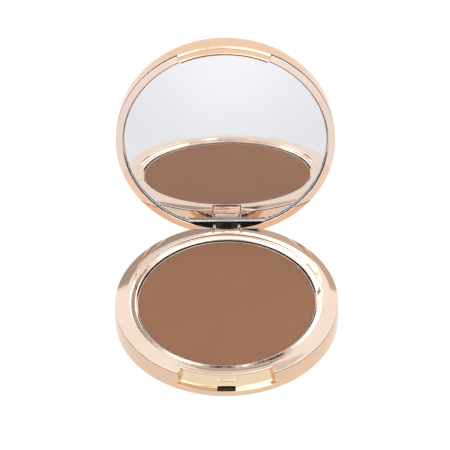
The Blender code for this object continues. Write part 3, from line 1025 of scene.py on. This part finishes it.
def glass_finish(c, r, angle, normal):
    chord_chamfer = (c.y > GLASS_CHORD - 0.72 and abs(normal.x) < 0.2
                     and c.z < GLASS_Z0 + CHAMFER and normal.y > 0.1)
    return 1 if abs(normal.z) < 0.2 or chord_chamfer else None


def build_mirror():
    low = GLASS_Z0 + CHAMFER
    glass = mirror_slab("mirror_glass", [
        (-CHAMFER, -0.7, GLASS_Z0), (0, 0, low), (0, 0, GLASS_Z1 - CHAMFER / 2),
        (-CHAMFER / 2, -CHAMFER / 2, GLASS_Z1)], GLASS)
    silver = mirror_slab("mirror_silver", [
        (-SILVER_INSET, -SILVER_INSET, SILVER_Z0), (-SILVER_INSET, -SILVER_INSET, SILVER_Z1)], SILVER)
    edge = mirror_slab("mirror_ground_edge", [
        (EDGE_IN, EDGE_IN, low), (EDGE_IN, EDGE_IN, SILVER_Z1), (EDGE_OUT, EDGE_OUT, SILVER_Z1),
        (EDGE_OUT, EDGE_OUT, low), (EDGE_IN, EDGE_IN, low)], GROUND, capped=False)
    glass.data.materials.append(GROUND)
    paint(glass, glass_finish)
    for ob in (glass, silver, edge):
        ob.data.transform(LID_POSE)
        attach(ob, "lid")
    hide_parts("mirror")


build_mirror()

# =============================================================================================
# foam pad behind the mirror, cut out round the lug
# =============================================================================================
FOAM_R, FOAM_CUT_HALF = 35.15, 5.0


def build_foam():
    half = degrees(math.asin(FOAM_CUT_HALF / FOAM_R))
    angles = np.linspace(-180 + half, 180 - half, 420)
    outline = [(FOAM_R * sin(rad(phi)), -FOAM_R * cos(rad(phi))) for phi in angles]
    outline += [(FOAM_CUT_HALF, 33.6), (FOAM_CUT_HALF, 33.0), (4.85, 32.85), (0.0, 32.85),
                (-4.85, 32.85), (-FOAM_CUT_HALF, 33.0), (-FOAM_CUT_HALF, 33.6)]
    layers = ((0.9985, 10.12), (1.0, 10.17), (1.0, 10.45), (0.9985, 10.5))     # (scale, z)
    outlines = [[(x * scale, y * scale, z) for x, y in outline] for scale, z in layers]
    ob = dress(stack("foam_backing", outlines, sharp=20), FOAM)
    ob.data.transform(LID_POSE)
    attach(ob, "lid")
    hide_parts("foam_pad")


build_foam()

# CAD nodes that stay: hidden or plain pieces with their own finish
for node, material in (("hinge_pin", STEEL), ("pan_adhesive", GLUE), ("base_label", PAPER)):
    dress(frame["nodes"][node], material)


# =============================================================================================
# floor
# =============================================================================================
def floor_material():
    """A white sweep that glows instead of being lit: the camera sees an even white, other rays a
    painted pool of light that lies in front of the compact, over painted shade that dims the front of
    the floor. Places are metres."""
    pool_half_x, pool_half_y, pool_y = 0.034, 0.085, -0.145
    pool_strength = 0.175
    m = Material("floor_white")
    position = m.node("ShaderNodeNewGeometry").outputs["Position"]
    x, y, _ = m.node("ShaderNodeSeparateXYZ", {0: position}).outputs
    across = m.math("DIVIDE", x, pool_half_x)
    along = m.math("DIVIDE", m.math("ADD", y, -pool_y), pool_half_y)
    squares = [m.math("POWER", m.math("ABSOLUTE", v), 2.0) for v in (across, along)]
    pool = m.math("EXPONENT", m.math("MULTIPLY", m.math("ADD", *squares), -1.0))
    # painted shade: the floor is dimmer at the front and brightens towards the back
    level = m.node("ShaderNodeMapRange", {
        "Value": y, "From Min": -0.06, "From Max": 0.03, "To Min": 0.84, "To Max": 1.0,
    }, interpolation_type="SMOOTHSTEP").outputs["Result"]
    painted_floor_light = m.math("ADD", m.math("MULTIPLY", pool, pool_strength), level)
    return m.surface({
        "Base Color": (0.02, 0.02, 0.02, 1),
        "Roughness": 1.0,
        "Specular IOR Level": 0.0,
        "Emission Color": (1.0, 1.0, 1.015, 1),
        "Emission Strength": m.mix(m.camera_ray(), painted_floor_light, 1.05, data_type="FLOAT"),
    })


def build_floor():
    bm = bmesh.new()
    bmesh.ops.create_circle(bm, cap_ends=True, segments=96, radius=3.0)
    ob = to_object("floor", bm)
    ob.location = (0, 0, -0.00005)
    dress(ob, floor_material())


build_floor()

# =============================================================================================
# studio: lights, flags and walls as soft-edged patches of direction
# =============================================================================================
DARK = (0.16, 0.15, 0.14)
SOFT_BOX = (2.3, 2.35, 2.45)
GLINT = (1.7, 1.7, 1.65)
BACKGROUND = (1.0, 0.985, 0.955, 1)
FLAG_SOFT = 1.5

# Panels: side the azimuth is counted from (+ to +X), azimuth from and to, elevation from and to,
# softness of the edges (all degrees), colour. Later ones cover earlier ones.
ROOM = [    # ceiling and the dim room behind the lights
    ("front", -400, 400, 84, 100, 4, (0.64, 0.52, 0.42)),
    ("back", -90, 90, 67, 84, 4, (0.66, 0.56, 0.46)),
    ("back", 32, 92, 26, 43, 3, (0.50, 0.47, 0.45)),
    ("back", -92, -34, 32, 43, 3, (0.50, 0.46, 0.43)),
]
PANELS = [
    # narrow stands and glints, just over the lid
    ("back", -6.5, -2.6, 41, 47, 0.3, (0.44, 0.37, 0.32)),
    ("back", -1.47, -0.5, 42.2, 46, 0.15, (0.02, 0.02, 0.02)),
    ("back", -0.1, 0.9, 42.2, 46, 0.15, (0.04, 0.034, 0.03)),
    ("back", 1.05, 3.2, 42.6, 45.6, 0.15, GLINT),
    ("back", -2.55, -1.52, 42.2, 46, 0.12, GLINT),
    ("back", -0.47, -0.14, 42.2, 46, 0.1, GLINT),
    ("back", -12, 24, 56.5, 65.5, 3, (0.76, 0.69, 0.63)),
    ("back", -5.5, 6.5, 49.8, 55.6, 0.8, (0.45, 0.39, 0.345)),
    ("back", 4, 62, 66, 86, 3, (2.0, 2.0, 1.95)),
    # soft boxes, left and right of the camera
    ("front", -96, -38, 9, 34, 2, SOFT_BOX),
    ("front", -88, -46, 34, 62, 2, SOFT_BOX),
    ("front", -46, -22, 21, 31, 2, SOFT_BOX),
    ("front", 15, 70, 20, 34, 2, SOFT_BOX),
    ("front", 30, 112, 34, 62, 2, SOFT_BOX),
    ("front", 34, 75, 10, 20, 2, (1.6, 1.6, 1.65)),
    ("front", 48, 84, 25, 31.5, 3, (0.8, 0.8, 0.8)),
    # overhead box at the front, with gaps
    ("front", -44, 46, 53, 70, 2, (1.9, 1.95, 2.0)),
    ("front", -44, 46, 70, 80, 2, (1.15, 1.17, 1.17)),
    ("front", -22, -3.4, 53, 61.6, 1.0, (0.93, 0.91, 0.89)),
    ("front", -10, -4.4, 60, 67.5, 0.4, (0.44, 0.37, 0.32)),
    # the dim gap where the camera stands, between two dark stands
    ("front", -22, 16, 37.5, 53, 2.5, (0.46, 0.39, 0.34)),
    ("front", 1.5, 16, 37.5, 53, 3, (0.66, 0.55, 0.47)),
    ("front", -31, -23, 35, 66, 1.5, DARK),
    ("front", 13, 21, 36, 45, 1.5, DARK),
    ("front", -3.0, 4.6, 39, 46.5, 0.8, (0.02, 0.022, 0.024)),
]


class Studio(Graph):
    def __init__(self, tree):
        super().__init__(tree)
        direction = self.node("ShaderNodeTexCoord").outputs["Generated"]
        x, y, z = self.node("ShaderNodeSeparateXYZ", {0: direction}).outputs
        self.elevation = self.to_degrees(self.math("ARCSINE", z))
        toward_front = self.math("MULTIPLY", y, -1.0)
        self.azimuth = {
            "front": self.to_degrees(self.math("ARCTAN2", x, toward_front)),
            "back": self.to_degrees(self.math("ARCTAN2", x, y)),
        }
        self.light = BACKGROUND

    def to_degrees(self, value):
        return self.math("MULTIPLY", value, 180 / pi)

    def above(self, value, at, soft):
        """1 where the value is over the limit, with a soft edge."""
        limits = {"From Min": at - soft / 2, "From Max": at + soft / 2, "Value": value}
        made = self.node("ShaderNodeMapRange", limits, interpolation_type="SMOOTHSTEP")
        return made.outputs["Result"]

    def below(self, value, at, soft):
        return self.math("SUBTRACT", 1.0, self.above(value, at, soft))

    def between(self, value, low, high, soft):
        return self.math("MULTIPLY", self.above(value, low, soft), self.below(value, high, soft))

    def cover(self, mask, colour):
        self.light = self.mix(mask, self.light, (*colour, 1), data_type="RGBA")

    def panel(self, side, az_from, az_to, el_from, el_to, soft, colour):
        across = self.between(self.azimuth[side], az_from, az_to, soft)
        up = self.between(self.elevation, el_from, el_to, soft)
        self.cover(self.math("MULTIPLY", across, up), colour)

    def flag(self, side, slant_max, end_max, el_from, az_max, colour):
        """A flag behind the lid with slanted edges; side +1 is at -X, -1 at +X."""
        az = self.math("MULTIPLY", self.azimuth["back"], side)
        slant = self.math("ADD", self.elevation, self.math("MULTIPLY", az, 1.44))
        end = self.math("SUBTRACT", self.elevation, self.math("MULTIPLY", az, 0.5))
        slants = self.math("MULTIPLY", self.below(slant, slant_max, FLAG_SOFT),
                           self.below(end, end_max, FLAG_SOFT))
        limits = self.math("MULTIPLY", self.above(self.elevation, el_from, FLAG_SOFT),
                           self.above(az, -az_max, FLAG_SOFT))
        self.cover(self.math("MULTIPLY", slants, limits), colour)


def build_studio():
    world = bpy.data.worlds.new("studio")
    bpy.context.scene.world = world
    world.use_nodes = True
    studio = Studio(world.node_tree)
    for row in ROOM:
        studio.panel(*row)
    studio.flag(side=-1.0, slant_max=16.0, end_max=47.3, el_from=25.0, az_max=32,
                colour=(0.60, 0.47, 0.38))
    studio.flag(side=1.0, slant_max=21.5, end_max=46.0, el_from=24.6, az_max=32,
                colour=(0.43, 0.365, 0.31))
    for row in PANELS:
        studio.panel(*row)
    # the camera itself sees plain white
    seen = studio.mix(studio.camera_ray(), studio.light, (1.05, 1.05, 1.05, 1), data_type="RGBA")
    studio.feed(world.node_tree.nodes["Background"], {"Color": seen, "Strength": 1.0})


build_studio()

# =============================================================================================
# render settings and camera
# =============================================================================================
scene = bpy.context.scene
scene.view_settings.view_transform = "Standard"
scene.view_settings.look = "None"
scene.view_settings.exposure = 0.0
scene.view_settings.gamma = 1.0
scene.cycles.max_bounces = 16
scene.cycles.glossy_bounces = 10
scene.cycles.transmission_bounces = 10
scene.cycles.diffuse_bounces = 3

CAM_AZIMUTH, CAM_ELEVATION, CAM_ROLL = rad(0.805), rad(42.619), rad(-1.082)
CAM_DISTANCE = 988.8
CAM_RIGHT, CAM_UP = -0.502, 25.077      # shift in the picture plane
AIM_Z = 8.12
SENSOR, LENS = 36.0, 233.712


def build_camera():
    level = cos(CAM_ELEVATION)
    back = Vector((sin(CAM_AZIMUTH) * level, -cos(CAM_AZIMUTH) * level, sin(CAM_ELEVATION)))
    flat_right = Vector((0, 0, 1)).cross(back).normalized()
    flat_up = back.cross(flat_right)
    right = flat_right * cos(CAM_ROLL) + flat_up * sin(CAM_ROLL)
    up = -flat_right * sin(CAM_ROLL) + flat_up * cos(CAM_ROLL)
    aim = Vector((0, 0, AIM_Z))
    place = (back * CAM_DISTANCE + right * CAM_RIGHT + up * CAM_UP + aim) * MM
    data = bpy.data.cameras.new("camera")
    camera = bpy.data.objects.new("camera", data)
    scene.collection.objects.link(camera)
    rows = [(right[i], up[i], back[i], place[i]) for i in range(3)]
    camera.matrix_world = Matrix((*rows, (0, 0, 0, 1)))
    data.sensor_width = SENSOR
    data.lens = LENS
    data.clip_start = 0.05
    data.clip_end = 50.0
    scene.camera = camera


build_camera()
